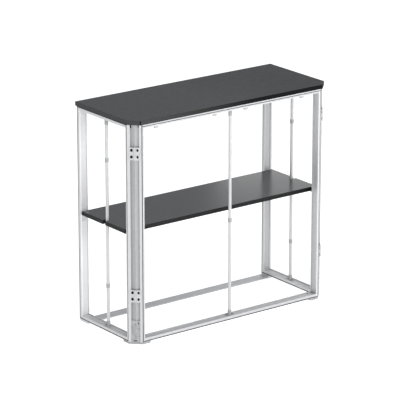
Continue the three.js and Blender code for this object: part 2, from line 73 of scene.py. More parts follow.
# Studio
# A pale room, lighter on the left than on the right, with a large soft light beside the camera, one at the
# front right that the faces to the visitor catch, a small one behind that the shelf reflects, and a wide
# white floor.
sky_colour = (0.95, 0.97, 1.0, 1.0)
sky_left = 0.65
sky_right = 0.5
sky = bpy.data.worlds.new("studio_sky")
sky.use_nodes = True
scene.world = sky
background = sky.node_tree.nodes["Background"]
background.inputs["Color"].default_value = sky_colour
sky_way = sky.node_tree.nodes.new("ShaderNodeTexCoord")
sky_parts = sky.node_tree.nodes.new("ShaderNodeSeparateXYZ")
sky_tone = sky.node_tree.nodes.new("ShaderNodeMapRange")
sky_tone.inputs["From Min"].default_value = -1.0
sky_tone.inputs["To Min"].default_value = sky_left
sky_tone.inputs["To Max"].default_value = sky_right
sky.node_tree.links.new(sky_way.outputs["Generated"], sky_parts.inputs[0])
sky.node_tree.links.new(sky_parts.outputs["X"], sky_tone.inputs["Value"])
sky.node_tree.links.new(sky_tone.outputs["Result"], background.inputs["Strength"])


def soft_light(name, place, aim_at, width, height, watts):
    light = bpy.data.lights.new(name, "AREA")
    light.shape = "RECTANGLE"
    light.size = width
    light.size_y = height
    light.energy = watts
    lamp = bpy.data.objects.new(name, light)
    lamp.location = place
    lamp.rotation_euler = (Vector(place) - Vector(aim_at)).to_track_quat("Z", "Y").to_euler()
    lamp.visible_camera = False
    scene.collection.objects.link(lamp)


soft_light("key_light", (-3.1, -4.8, 3.3), aim_at=(0, 0, 0.6), width=2.4, height=2.4, watts=120)
soft_light("front_light", (1.9, -5.1, 2.3), aim_at=(0, 0, 0.8), width=2.4, height=1.6, watts=115)
soft_light("shelf_light", (1.74, 1.45, 0.93), aim_at=(0.3, 0, 0.51), width=0.9, height=0.4, watts=1.6)

floor_reach = 45.0
floor_shape = bmesh.new()
bmesh.ops.create_grid(floor_shape, x_segments=2, y_segments=2, size=floor_reach)
floor_mesh = bpy.data.meshes.new("floor")
floor_shape.to_mesh(floor_mesh)
floor_shape.free()
floor = bpy.data.objects.new("floor", floor_mesh)
scene.collection.objects.link(floor)
floor_paint = bpy.data.materials.new("floor_paint")
floor_paint.use_nodes = True
floor_shader = floor_paint.node_tree.nodes["Principled BSDF"]
floor_shader.inputs["Base Color"].default_value = (0.9, 0.9, 0.9, 1.0)
floor_shader.inputs["Roughness"].default_value = 0.9
floor_shader.inputs["Specular IOR Level"].default_value = 0.0
floor_shader.inputs["Emission Color"].default_value = (1.0, 1.0, 1.0, 1.0)
floor_shader.inputs["Emission Strength"].default_value = 0.6
floor_mesh.materials.append(floor_paint)

# Foot plates
# A flat steel plate with a cut corner lies under each front corner of the folded-out frames and carries
# it. It is sawn from 10 mm plate, its edges are broken, and it is painted light grey.


def new_finish(name):
    finish = bpy.data.materials.new(name)
    finish.use_nodes = True
    tree = finish.node_tree
    tree.nodes.clear()
    shader = tree.nodes.new("ShaderNodeBsdfPrincipled")
    surface = tree.nodes.new("ShaderNodeOutputMaterial")
    tree.links.new(shader.outputs["BSDF"], surface.inputs["Surface"])
    place = tree.nodes.new("ShaderNodeTexCoord").outputs["Object"]
    return finish, tree, shader, place


def start_group(name, inputs, outputs):
    group = bpy.data.node_groups.new(name, "ShaderNodeTree")
    for label, kind, value in inputs:
        socket = group.interface.new_socket(label, in_out="INPUT", socket_type=kind)
        if value is not None:
            socket.default_value = value
    for label, kind in outputs:
        group.interface.new_socket(label, in_out="OUTPUT", socket_type=kind)
    return group, group.nodes.new("NodeGroupInput").outputs, group.nodes.new("NodeGroupOutput").inputs


def wire(tree, kind, settings=None, **sockets):
    node = tree.nodes.new(kind)
    for key, value in (settings or {}).items():
        setattr(node, key, value)
    for key, value in sockets.items():
        target = node.inputs[int(key[1:])] if key[1:].isdigit() else node.inputs[key.replace("_", " ")]
        if isinstance(value, bpy.types.NodeSocket):
            tree.links.new(value, target)
        else:
            target.default_value = value
    return node


def span(tree, value, start=0.0, end=1.0, at_start=0.0, at_end=1.0):
    return wire(tree, "ShaderNodeMapRange", None, Value=value, From_Min=start, From_Max=end,
                To_Min=at_start, To_Max=at_end).outputs["Result"]


def calculate(tree, operation, first, second, clamp=False):
    settings = {"operation": operation, "use_clamp": clamp}
    return wire(tree, "ShaderNodeMath", settings, _0=first, _1=second).outputs[0]


def mix_colours(tree, mask, first, second):
    node = wire(tree, "ShaderNodeMix", {"data_type": "RGBA"})
    tree.links.new(mask, node.inputs[0])
    for value, socket in ((first, node.inputs[6]), (second, node.inputs[7])):
        if isinstance(value, bpy.types.NodeSocket):
            tree.links.new(value, socket)
        else:
            socket.default_value = (*value, 1.0)
    return node.outputs[2]


def use_group(tree, group, **sockets):
    return wire(tree, "ShaderNodeGroup", {"node_tree": group}, **sockets)


def bump(tree, shader, height, strength, distance):
    node = wire(tree, "ShaderNodeBump", None, Height=height, Strength=strength, Distance=distance)
    tree.links.new(node.outputs["Normal"], shader.inputs["Normal"])


# Soft blotches of tone, as paint and oxide layers have
mottling, given, given_out = start_group(
    "mottling",
    (("Vector", "NodeSocketVector", None), ("Scale", "NodeSocketFloat", 20.0),
     ("Contrast", "NodeSocketFloat", 0.5)),
    (("Mask", "NodeSocketFloat"),),
)
wide = wire(mottling, "ShaderNodeTexNoise", None, Vector=given["Vector"], Scale=given["Scale"], Detail=3.0)
centred = calculate(mottling, "SUBTRACT", wide.outputs["Fac"], 0.5)
spread = calculate(mottling, "MULTIPLY", centred, given["Contrast"])
mottling.links.new(calculate(mottling, "ADD", spread, 0.5, clamp=True), given_out["Mask"])

# Bare or rubbed edges: where the surface turns sharply outwards, broken up by noise
edge_wear, given, given_out = start_group(
    "edge_wear",
    (("Vector", "NodeSocketVector", None), ("Amount", "NodeSocketFloat", 0.5)),
    (("Mask", "NodeSocketFloat"),),
)
turned_out = edge_wear.nodes.new("ShaderNodeNewGeometry").outputs["Pointiness"]
ridge = span(edge_wear, turned_out, start=0.53, end=0.62)
patchy = wire(edge_wear, "ShaderNodeTexNoise", None, Vector=given["Vector"], Scale=60.0, Detail=4.0)
broken = span(edge_wear, patchy.outputs["Fac"], start=0.42, end=0.62)
rubbed = calculate(edge_wear, "MULTIPLY", ridge, broken)
edge_wear.links.new(calculate(edge_wear, "MULTIPLY", rubbed, given["Amount"], clamp=True), given_out["Mask"])

# Dust that settles on faces that look up
settled_dust, given, given_out = start_group(
    "settled_dust",
    (("Vector", "NodeSocketVector", None), ("Scale", "NodeSocketFloat", 9.0),
     ("Amount", "NodeSocketFloat", 0.2)),
    (("Mask", "NodeSocketFloat"),),
)
facing = wire(settled_dust, "ShaderNodeSeparateXYZ", None,
              Vector=settled_dust.nodes.new("ShaderNodeNewGeometry").outputs["Normal"])
upward = span(settled_dust, facing.outputs["Z"], start=0.55, end=0.98)
drift = wire(settled_dust, "ShaderNodeTexNoise", None, Vector=given["Vector"], Scale=given["Scale"],
             Detail=6.0, Roughness=0.65)
drifted = span(settled_dust, drift.outputs["Fac"], start=0.38, end=0.72, at_start=0.15)
lying = calculate(settled_dust, "MULTIPLY", upward, drifted)
dust_mask = calculate(settled_dust, "MULTIPLY", lying, given["Amount"], clamp=True)
settled_dust.links.new(dust_mask, given_out["Mask"])

# Fine even grain, as sprayed paint, moulded plastic and pressed laminate have
fine_grain, given, given_out = start_group(
    "fine_grain",
    (("Vector", "NodeSocketVector", None), ("Scale", "NodeSocketFloat", 900.0)),
    (("Height", "NodeSocketFloat"),),
)
cells = wire(fine_grain, "ShaderNodeTexVoronoi", {"feature": "SMOOTH_F1"},
             Vector=given["Vector"], Scale=given["Scale"])
fuzz = wire(fine_grain, "ShaderNodeTexNoise", None, Vector=given["Vector"], Scale=given["Scale"], Detail=2.0)
grainy = calculate(fine_grain, "ADD", cells.outputs["Distance"], fuzz.outputs["Fac"])
fine_grain.links.new(grainy, given_out["Height"])

paint_dark = (0.26, 0.262, 0.266)
paint_light = (0.33, 0.332, 0.336)
paint_rubbed = (0.6, 0.6, 0.59)
paint_dust = (0.5, 0.485, 0.46)


def grey_paint_finish():
    finish, tree, shader, place = new_finish("grey_paint")
    blotch = use_group(tree, mottling, Vector=place, Scale=55.0, Contrast=2.6).outputs["Mask"]
    wear = use_group(tree, edge_wear, Vector=place, Amount=0.55).outputs["Mask"]
    dust = use_group(tree, settled_dust, Vector=place, Scale=25.0, Amount=0.3).outputs["Mask"]
    painted = mix_colours(tree, blotch, paint_dark, paint_light)
    worn = mix_colours(tree, wear, painted, paint_rubbed)
    dusty = mix_colours(tree, dust, worn, paint_dust)
    tree.links.new(dusty, shader.inputs["Base Color"])
    tree.links.new(span(tree, blotch, at_start=0.42, at_end=0.58), shader.inputs["Roughness"])
    shader.inputs["Metallic"].default_value = 0.0
    grain = use_group(tree, fine_grain, Vector=place, Scale=1100.0).outputs["Height"]
    bump(tree, shader, grain, strength=0.25, distance=0.0002)
    return finish


grey_paint = grey_paint_finish()
merge_within = 1e-6
flat_within = math.radians(1)
sharp_from = math.radians(25)
smooth_within = math.radians(40)


# A copy of a solid's mesh with its loose triangles joined and its sharp edges broken
def eased_copy(node, radius, segments=2):
    shape = bmesh.new()
    shape.from_mesh(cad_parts[node].data)
    bmesh.ops.remove_doubles(shape, verts=shape.verts, dist=merge_within)
    bmesh.ops.dissolve_limit(shape, angle_limit=flat_within, verts=shape.verts[:], edges=shape.edges[:])
    sharp = [edge for edge in shape.edges if edge.is_manifold and edge.calc_face_angle() > sharp_from]
    bmesh.ops.bevel(shape, geom=sharp, offset=radius, segments=segments, profile=0.5, affect="EDGES",
                    clamp_overlap=True, material=-1)
    return shape


# Makes the finished piece from its shape and rides it on its body
def make_piece(shape, name, body, finishes, stands_for=()):
    for face in shape.faces:
        face.smooth = True
    for edge in shape.edges:
        edge.smooth = edge.is_manifold and edge.calc_face_angle() < smooth_within
    mesh = bpy.data.meshes.new(name)
    shape.to_mesh(mesh)
    shape.free()
    if "custom_normal" in mesh.attributes:
        mesh.attributes.remove(mesh.attributes["custom_normal"])
    for finish in finishes:
        mesh.materials.append(finish)
    piece = bpy.data.objects.new(name, mesh)
    scene.collection.objects.link(piece)
    shading = piece.modifiers.new("even_shading", "WEIGHTED_NORMAL")
    shading.keep_sharp = True
    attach(piece, body)
    if stands_for:
        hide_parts(*stands_for)
    return piece


foot_edge = 0.0008
for word in ("left", "right"):
    foot = eased_copy(f"{word}_foot_plate", foot_edge)
    make_piece(foot, f"{word}_foot", "front_frame", [grey_paint], [f"{word}_foot_plate"])

# Frame profiles
# Drawn aluminium lengths, satin anodised: fine lines run along each length, and the faces are a little
# uneven in tone. Each frame is sawn to mitres or butted to its corner post, and cornered inside.
# Grooves, hollows and channels get painted shade, and some faces painted light.

# Fine lines along a drawn length. The vector given to it is already stretched along the run.
drawn_lines, given, given_out = start_group(
    "drawn_lines",
    (("Vector", "NodeSocketVector", None),),
    (("Lines", "NodeSocketFloat"), ("Height", "NodeSocketFloat")),
)
coarse = wire(drawn_lines, "ShaderNodeTexNoise", None, Vector=given["Vector"], Scale=1.0, Detail=2.0)
fine = wire(drawn_lines, "ShaderNodeTexNoise", None, Vector=given["Vector"], Scale=3.7, Detail=3.0)
lines = calculate(drawn_lines, "ADD", coarse.outputs["Fac"], fine.outputs["Fac"])
drawn_lines.links.new(span(drawn_lines, lines, start=0.7, end=1.3), given_out["Lines"])
drawn_lines.links.new(lines, given_out["Height"])

channel_from = 0.002
hollow_from = 0.004
groove_from = 0.007
groove_reach = 0.012
off_surface = 0.00002
forward_from = 0.9


# Notes on each face its painted shade, or below zero its painted light, by its kind: narrow grooves, which
# the light hardly reaches, are painted dark, and hollows, channels and faces turned to the front are painted
# a little darker or paler, standing in for the shade and light that fall there. A face's depth is measured
# to the hull stretched over the piece.
def mark_painted_shading(shape, painted_shading_by_kind):
    hull = bmesh.new()
    for point in shape.verts:
        hull.verts.new(point.co)
    bmesh.ops.convex_hull(hull, input=hull.verts[:], use_existing_faces=False)
    hull_tree = BVHTree.FromBMesh(hull)
    own_tree = BVHTree.FromBMesh(shape)
    hull.free()
    painted_shading = shape.faces.layers.float.new("painted_shading")
    for face in shape.faces:
        start = face.calc_center_median() + face.normal * off_surface
        facing_wall = own_tree.ray_cast(start, face.normal)[3]
        depth = hull_tree.ray_cast(start, face.normal)[3] or 0.0
        if facing_wall is not None:
            kind = "groove" if facing_wall < groove_reach else "wall"
        elif depth > groove_from:
            kind = "groove"
        elif depth > hollow_from:
            kind = "hollow"
        elif depth > channel_from:
            kind = "channel"
        else:
            kind = "strip" if -face.normal.y > forward_from else "other"
        face[painted_shading] = painted_shading_by_kind.get(kind, 0.0)


across_run = 420.0
along_run = 3.0
anodised_dark = (0.541, 0.544, 0.551)
anodised_light = (0.567, 0.569, 0.575)
anodised_shade = (0.97, 0.97, 0.973)
anodised_clear = (0.99, 0.99, 0.99)
anodised_rubbed = (0.9, 0.9, 0.9)
anodised_dust = (0.74, 0.735, 0.72)
painted_pale_light = (0.92, 0.92, 0.92)
painted_groove_shade = (0.09, 0.09, 0.095)


def anodised_finish(name, run):
    finish, tree, shader, place = new_finish(name)
    stretch = [along_run if axis == run else across_run for axis in "XYZ"]
    stretched = wire(tree, "ShaderNodeMapping", None, Vector=place, Scale=stretch).outputs["Vector"]
    drawn = use_group(tree, drawn_lines, Vector=stretched)
    blotch = use_group(tree, mottling, Vector=place, Scale=14.0, Contrast=2.0).outputs["Mask"]
    wear = use_group(tree, edge_wear, Vector=place, Amount=0.1).outputs["Mask"]
    dust = use_group(tree, settled_dust, Vector=place, Scale=12.0, Amount=0.5).outputs["Mask"]
    lined = mix_colours(tree, drawn.outputs["Lines"], anodised_dark, anodised_light)
    toned = wire(tree, "ShaderNodeMix", {"data_type": "RGBA", "blend_type": "MULTIPLY"})
    toned.inputs[0].default_value = 1.0
    tree.links.new(lined, toned.inputs[6])
    tree.links.new(mix_colours(tree, blotch, anodised_shade, anodised_clear), toned.inputs[7])
    worn = mix_colours(tree, wear, toned.outputs[2], anodised_rubbed)
    dusty = mix_colours(tree, dust, worn, anodised_dust)
    # Painted shade and light: each face's mark mixes its colour towards near black, or below zero towards
    # pale grey
    painted_shading = wire(tree, "ShaderNodeAttribute", {"attribute_name": "painted_shading"}).outputs["Fac"]
    painted_light_mask = span(tree, painted_shading, start=-1.0, end=0.0, at_start=1.0, at_end=0.0)
    painted_lighter = mix_colours(tree, painted_light_mask, dusty, painted_pale_light)
    tree.links.new(mix_colours(tree, painted_shading, painted_lighter, painted_groove_shade), shader.inputs["Base Color"])
    tree.links.new(span(tree, painted_shading, at_start=0.42, at_end=0.1), shader.inputs["Metallic"])
    roughness = span(tree, drawn.outputs["Lines"], at_start=0.43, at_end=0.47)
    tree.links.new(roughness, shader.inputs["Roughness"])
    bump(tree, shader, drawn.outputs["Height"], strength=0.05, distance=0.0001)
    return finish


anodised_along = {axis: anodised_finish(f"anodised_along_{axis.lower()}", axis) for axis in "XYZ"}
profile_edge = 0.0002
front_groove_high = 0.9798
front_groove_low = 0.9752
front_rail_inside = 0.9732
front_groove_drop = 0.0048


# The front top rail's groove lies a little lower than the side rails' do, and runs on across the two posts
def lower_front_groove(shape, lowest):
    for point in shape.verts:
        if lowest < point.co.z < front_groove_high:
            point.co.z -= front_groove_drop


# Each length with its body, the way it runs, and the painted shade or, below zero, painted light of each
# kind of face
profile_lengths = [
    ("front_left_stile", "front_frame", "Z", {"hollow": 0.33, "groove": 0.45}),
    ("front_right_stile", "front_frame", "Z",
     {"channel": 0.12, "strip": -0.35, "hollow": 0.36, "groove": 0.3}),
    ("front_bottom_rail", "front_frame", "X", {"groove": 1.0}),
    ("front_top_rail", "front_frame", "X", {"groove": 0.4}),
    ("left_corner_stile", "left_frame", "Z", {"hollow": 0.38, "groove": 0.5}),
    ("left_back_stile", "left_frame", "Z", {"channel": -0.3, "strip": -0.7, "groove": 0.6}),
    ("left_bottom_rail", "left_frame", "Y", {"groove": 1.0}),
    ("left_top_rail", "left_frame", "Y", {"groove": 1.0}),
    ("right_corner_stile", "right_frame", "Z", {"hollow": 0.7, "groove": 0.6}),
    ("right_back_stile", "right_frame", "Z", {"channel": 0.28, "groove": 0.6}),
    ("right_bottom_rail", "right_frame", "Y", {"groove": 1.0}),
    ("right_top_rail", "right_frame", "Y", {"groove": 1.0}),
]
for node, body, run, painted_shading_by_kind in profile_lengths:
    length = eased_copy(node, profile_edge)
    if node == "front_top_rail":
        lower_front_groove(length, front_rail_inside)
    elif body == "front_frame" and run == "Z":
        lower_front_groove(length, front_groove_low)
    mark_painted_shading(length, painted_shading_by_kind)
    make_piece(length, f"{node}_profile", body, [anodised_along[run]], [node])

# Back bar
# A flat aluminium bar on the floor holds the two side frames apart at the open back. Its two ends carry
# pads on which the frames stand, and its edges are rounded over.
bar_edge = 0.0006
bar = eased_copy("back_bar", bar_edge)
make_piece(bar, "back_bar_flat", "back_bar", [anodised_along["X"]], ["back_bar"])

# Hinges
# Pressed and plated steel butt hinges, two at each cut corner. Each leaf lies on its post's lip, and rolled
# knuckles close round a headed pin. Two black screws in upright slots hold each leaf, and the side leaves'
# slots are wider, so that a frame can be set square.
plating_dark = (0.46, 0.463, 0.468)
plating_light = (0.55, 0.553, 0.557)
plating_rubbed = (0.86, 0.86, 0.86)
blackening_dark = (0.002, 0.002, 0.0022)
blackening_light = (0.006, 0.006, 0.0063)
blackening_rubbed = (0.16, 0.155, 0.15)


def plated_finish():
    finish, tree, shader, place = new_finish("plated_steel")
    brushing = (900.0, 900.0, 60.0)
    brushed = wire(tree, "ShaderNodeMapping", None, Vector=place, Scale=brushing).outputs["Vector"]
    drawn = use_group(tree, drawn_lines, Vector=brushed)
    blotch = use_group(tree, mottling, Vector=place, Scale=70.0, Contrast=2.4).outputs["Mask"]
    wear = use_group(tree, edge_wear, Vector=place, Amount=0.3).outputs["Mask"]
    plated = mix_colours(tree, blotch, plating_dark, plating_light)
    worn = mix_colours(tree, wear, plated, plating_rubbed)
    tree.links.new(worn, shader.inputs["Base Color"])
    shader.inputs["Metallic"].default_value = 0.6
    roughness = span(tree, drawn.outputs["Lines"], at_start=0.3, at_end=0.44)
    tree.links.new(roughness, shader.inputs["Roughness"])
    bump(tree, shader, drawn.outputs["Height"], strength=0.1, distance=0.0001)
    return finish


def black_screw_finish():
    finish, tree, shader, place = new_finish("blackened_screw")
    blotch = use_group(tree, mottling, Vector=place, Scale=400.0, Contrast=2.0).outputs["Mask"]
    wear = use_group(tree, edge_wear, Vector=place, Amount=0.25).outputs["Mask"]
    blackened = mix_colours(tree, blotch, blackening_dark, blackening_light)
    worn = mix_colours(tree, wear, blackened, blackening_rubbed)
    tree.links.new(worn, shader.inputs["Base Color"])
    tree.links.new(span(tree, blotch, at_start=0.4, at_end=0.55), shader.inputs["Roughness"])
    shader.inputs["Specular IOR Level"].default_value = 0.12
    return finish


# Spins an outline of radii and heights once round an upright axis
def turned(shape, outline, centre_x, centre_y, closed, steps=64):
    points = [shape.verts.new((centre_x + radius, centre_y, height)) for radius, height in outline]
    pairs = list(zip(points, points[1:]))
    if closed:
        pairs.append((points[-1], points[0]))
    edges = [shape.edges.new(pair) for pair in pairs]
    bmesh.ops.spin(shape, geom=points + edges, cent=(centre_x, centre_y, 0), axis=(0, 0, 1), dvec=(0, 0, 0),
                   angle=math.tau, steps=steps, use_merge=True, use_duplicate=False)
    bmesh.ops.remove_doubles(shape, verts=shape.verts, dist=merge_within)
    bmesh.ops.recalc_face_normals(shape, faces=shape.faces)


def close_ring(shape, edges, closing_edges):
    bmesh.ops.triangle_fill(shape, use_beauty=True, use_dissolve=False, edges=edges + closing_edges)


# Adds a band of faces to a ring of edges: its new ring is narrowed and lifted
def grow_ring(shape, edges, scale, lift):
    raised = bmesh.ops.extrude_edge_only(shape, edges=edges)["geom"]
    points = [item for item in raised if isinstance(item, bmesh.types.BMVert)]
    bmesh.ops.scale(shape, vec=(scale, scale, 1), verts=points)
    bmesh.ops.translate(shape, vec=(0, 0, lift), verts=points)
    new_edges = [item for item in raised if isinstance(item, bmesh.types.BMEdge)]
    return [edge for edge in new_edges if all(point in points for point in edge.verts)]


# The dome's bands as shares: how far each one narrows, and how much of the head's height it rises
dome_bands = [(1.0, 0.25), (0.93, 0.35), (0.8, 0.28), (0.75, 0.12)]
cross_arm = 0.42
cross_half = 0.11
recess_narrowing = 0.8
recess_depth = 0.6


# A domed head with a cross recess, first made lying on z = 0 about the origin
def screw_head(radius, height, cross_turn):
    head = bmesh.new()
    bmesh.ops.create_circle(head, cap_ends=True, radius=radius, segments=24)
    ring = list(head.edges)
    for narrowing, rise in dome_bands:
        ring = grow_ring(head, ring, narrowing, rise * height)
    arm = cross_arm * radius
    half = cross_half * radius
    corners = [(arm, -half), (arm, half), (half, half), (half, arm), (-half, arm), (-half, half),
               (-arm, half), (-arm, -half), (-half, -half), (-half, -arm), (half, -arm), (half, -half)]
    cross = [head.verts.new((x, y, height)) for x, y in corners]
    bmesh.ops.rotate(head, verts=cross, cent=(0, 0, 0), matrix=Matrix.Rotation(cross_turn, 3, "Z"))
    cross_edges = [head.edges.new((cross[i - 1], cross[i])) for i in range(len(cross))]
    close_ring(head, ring, cross_edges)
    recess = grow_ring(head, cross_edges, recess_narrowing, -recess_depth * height)
    bmesh.ops.edgeloop_fill(head, edges=recess)
    bmesh.ops.recalc_face_normals(head, faces=head.faces)
    return head


# Adds a copy of one shape, turned and moved into place, to another
def add_at(shape, added, place):
    mesh = bpy.data.meshes.new("added")
    added.transform(place)
    added.to_mesh(mesh)
    added.free()
    shape.from_mesh(mesh)
    bpy.data.meshes.remove(mesh)


# A flat black slot with round ends, standing upright on the leaf
def upright_slot(half_width, half_height, thickness):
    slot = bmesh.new()
    bmesh.ops.create_circle(slot, cap_ends=True, radius=half_width, segments=28)
    for point in slot.verts:
        point.co.y += math.copysign(half_height - half_width, point.co.y)
    raised = bmesh.ops.extrude_face_region(slot, geom=list(slot.faces))["geom"]
    tops = [item for item in raised if isinstance(item, bmesh.types.BMVert)]
    bmesh.ops.translate(slot, vec=(0, 0, thickness), verts=tops)
    bmesh.ops.recalc_face_normals(slot, faces=slot.faces)
    return slot


plated_steel = plated_finish()
black_screw = black_screw_finish()
hinge_edge = 0.0004
corner_half_cut = 0.0225
frame_half_width = 0.53
frame_half_depth = 0.208
leaf_outer = 0.0028
screws_from_middle = {"side": 0.0126, "front": 0.0134}
screw_from_centre = 0.0147
screw_lift = 0.0015
screw_radius = 0.0036
screw_height = 0.0014
slot_halves = {"side": (0.0057, 0.0068), "front": (0.0046, 0.0063)}
slot_thickness = 0.00035
hinge_levels = {"upper": 0.8537, "lower": 0.2193}
pin_radius = 0.0018
pin_tip_radius = 0.7 * pin_radius
pin_tip_height = 0.0005
pin_head_radius = 0.003
pin_head_height = 0.0015
pin_head_turns = [(1.0, 0.0006), (0.8, 0.0012)]
pin_crown_radius = 0.4 * pin_head_radius
pin_crown_drop = 0.0001


# Turns a shape made on z = 0 so that it lies on a corner's cut face: its x runs along the face, its y up
def on_cut_face(side, along, out, height):
    outward = Vector((side, -1, 0)).normalized()
    upward = Vector((0, 0, 1))
    rightward = upward.cross(outward)
    middle_x = frame_half_width - corner_half_cut
    middle_y = frame_half_depth - corner_half_cut
    corner = Vector((side * middle_x, -middle_y, height))
    turn = Matrix((rightward, upward, outward)).transposed().to_4x4()
    return Matrix.Translation(corner + rightward * along + outward * out) @ turn


cross_turns = iter([0.2, 0.9, 0.5, 1.2, 0.05, 0.7, 1.35, 0.4, 1.0, 0.3, 0.8, 0.15, 1.1, 0.6, 1.45, 0.35])
for word, side in (("left", -1), ("right", 1)):
    for level, height in hinge_levels.items():
        for half in ("side", "front"):
            body = f"{word}_frame" if half == "side" else "front_frame"
            node = f"{word}_{level}_hinge_{half}_leaf"
            leaf = eased_copy(node, hinge_edge)
            make_piece(leaf, f"{node}_pressed", body, [plated_steel], [node])
            toward = side if half == "side" else -side
            along = toward * screws_from_middle[half]
            screws = bmesh.new()
            for lift in (-screw_from_centre, screw_from_centre):
                screw_level = height + screw_lift + lift
                seat = on_cut_face(side, along, leaf_outer, screw_level)
                add_at(screws, upright_slot(*slot_halves[half], slot_thickness), seat)
                seat = on_cut_face(side, along, leaf_outer + slot_thickness, screw_level)
                add_at(screws, screw_head(screw_radius, screw_height, next(cross_turns)), seat)
            make_piece(screws, f"{word}_{level}_hinge_{half}_screws", body, [black_screw])
        low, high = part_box(f"{word}_{level}_hinge_pin")
        centre = (low + high) / 2
        head = high.z - pin_head_height
        pin_outline = [(0, low.z), (pin_tip_radius, low.z), (pin_radius, low.z + pin_tip_height)]
        pin_outline += [(pin_radius, head), (pin_head_radius, head)]
        pin_outline += [(share * pin_head_radius, head + rise) for share, rise in pin_head_turns]
        pin_outline += [(pin_crown_radius, high.z - pin_crown_drop), (0, high.z)]
        pin = bmesh.new()
        turned(pin, pin_outline, centre.x, centre.y, closed=False, steps=40)
        make_piece(pin, f"{word}_{level}_hinge_pin_headed", "front_frame", [plated_steel],
                   [f"{word}_{level}_hinge_pin"])

# Corner infills
# A grey filling piece closes the hollow of each corner post above the foot, one half on each frame. It is
# painted, rubbed along its edges, held by small dark screws, and has a flat black plug near its foot.
infill_edge = 0.0006
infill_middle_depth = 0.0005
infill_slope = 0.13
infill_screw_height = 0.0012
# Each screw's distance from the corner's middle, its height above the floor and its radius
infill_screws = {
    "side": [(0.003, 0.0897, 0.0021)],
    "front": [(0.0114, 0.0948, 0.0024), (0.0165, 0.037, 0.0018)],
}
infill_cross_turn = 100
# Where each half of the plug starts and ends, from the corner's middle
plug_parts = {"side": (0.0003, 0.0092), "front": (0.0003, 0.0058)}
plug_level = 0.0161
plug_height = 0.0042
plug_thickness = 0.0013
plug_sunk = 0.0009


# A place on the sloping front of one infill half, which falls away from the corner's middle towards the lip
def on_infill(side, toward, along, height, out):
    depth = infill_middle_depth + infill_slope * along
    tilt = Matrix.Rotation(toward * math.atan(infill_slope), 4, "Y")
    return on_cut_face(side, toward * along, out - depth, height) @ tilt


for word, side in (("left", -1), ("right", 1)):
    for half in ("side", "front"):
        body = f"{word}_frame" if half == "side" else "front_frame"
        node = f"{word}_corner_infill_{half}"
        infill = eased_copy(node, infill_edge)
        make_piece(infill, f"{node}_painted", body, [grey_paint], [node])
        toward = side if half == "side" else -side
        screws = bmesh.new()
        for along, height, radius in infill_screws[half]:
            place = on_infill(side, toward, along, height, 0.0)
            add_at(screws, screw_head(radius, infill_screw_height, along * infill_cross_turn), place)
        make_piece(screws, f"{node}_screws", body, [black_screw])
        start, end = plug_parts[half]
        black_block = upright_slot(plug_height / 2, (end - start) / 2, plug_thickness)
        black_block.transform(Matrix.Rotation(math.pi / 2, 4, "Z"))
        black_block.transform(on_infill(side, toward, (start + end) / 2, plug_level, -plug_sunk))
        make_piece(black_block, f"{node}_plug", body, [black_screw])

# Post caps
# At the top of each corner post a short grey block fills the hollow, and a black block fills the groove
# beside it, one of each on either frame. Both are pushed in under the tabletop. Both are painted shade: the
# black block stands in for the shadow at the groove's top, and the grey block, darker than the aluminium,
# for the shade under the tabletop.
cap_edge = 0.0003
cap_top = 0.9804
cap_bottom = 0.9692
shade_block_bottoms = {"side": 0.9658, "front": 0.9688}
# Sections of the grey block and the black shade block: how far from the corner's middle, and how deep behind
# the cut face
shade_cap_section = [(0.0003, 0.0016), (0.0144, 0.0032), (0.0144, 0.0074), (0.0003, 0.0023)]
shade_block_section = [(0.0147, -0.0004), (0.0191, -0.0004), (0.0191, 0.0074), (0.0147, 0.0074)]
plastic_rubbed = (0.42, 0.42, 0.42)


def plastic_finish(name, dark, light):
    finish, tree, shader, place = new_finish(name)
    blotch = use_group(tree, mottling, Vector=place, Scale=120.0, Contrast=1.6).outputs["Mask"]
    wear = use_group(tree, edge_wear, Vector=place, Amount=0.35).outputs["Mask"]
    moulded = mix_colours(tree, blotch, dark, light)
    worn = mix_colours(tree, wear, moulded, plastic_rubbed)
    tree.links.new(worn, shader.inputs["Base Color"])
    tree.links.new(span(tree, blotch, at_start=0.5, at_end=0.62), shader.inputs["Roughness"])
    grain = use_group(tree, fine_grain, Vector=place, Scale=1600.0).outputs["Height"]
    bump(tree, shader, grain, strength=0.3, distance=0.00015)
    return finish


grey_plastic = plastic_finish("grey_plastic", dark=(0.31, 0.313, 0.317), light=(0.38, 0.383, 0.387))


# An upright block in a corner post, from its section
def block_in_post(side, toward, section, low, high):
    block = bmesh.new()
    foot = block.faces.new([block.verts.new((toward * along, low, -depth)) for along, depth in section])
    raised = bmesh.ops.extrude_face_region(block, geom=[foot])["geom"]
    tops = [item for item in raised if isinstance(item, bmesh.types.BMVert)]
    bmesh.ops.translate(block, vec=(0, high - low, 0), verts=tops)
    bmesh.ops.recalc_face_normals(block, faces=block.faces)
    bmesh.ops.bevel(block, geom=list(block.edges), offset=cap_edge, segments=2, profile=0.5, affect="EDGES",
                    clamp_overlap=True, material=-1)
    block.transform(on_cut_face(side, 0, 0, 0))
    return block


for word, side in (("left", -1), ("right", 1)):
    for half in ("side", "front"):
        body = f"{word}_frame" if half == "side" else "front_frame"
        toward = side if half == "side" else -side
        # Painted shade: a grey block darker than the aluminium, standing in for the shade under the tabletop
        cap = block_in_post(side, toward, shade_cap_section, cap_bottom, cap_top)
        make_piece(cap, f"{word}_post_shade_cap_{half}", body, [grey_plastic])
        # Painted shade: a black block at the top of the groove, standing in for its shadow under the
        # tabletop
        black_block = block_in_post(side, toward, shade_block_section, shade_block_bottoms[half], cap_top)
        make_piece(black_block, f"{word}_post_shade_block_{half}", body, [black_screw])

# Poles
# Slim pale tubes stand in the middle of each frame. Each is joined from two or three lengths inside grey
# collars, and stands in moulded grey sockets whose plates are screwed into the rails' channels.
tube_dark = (0.52, 0.52, 0.518)
tube_light = (0.58, 0.58, 0.577)
tube_blotch = (0.56, 0.56, 0.56)


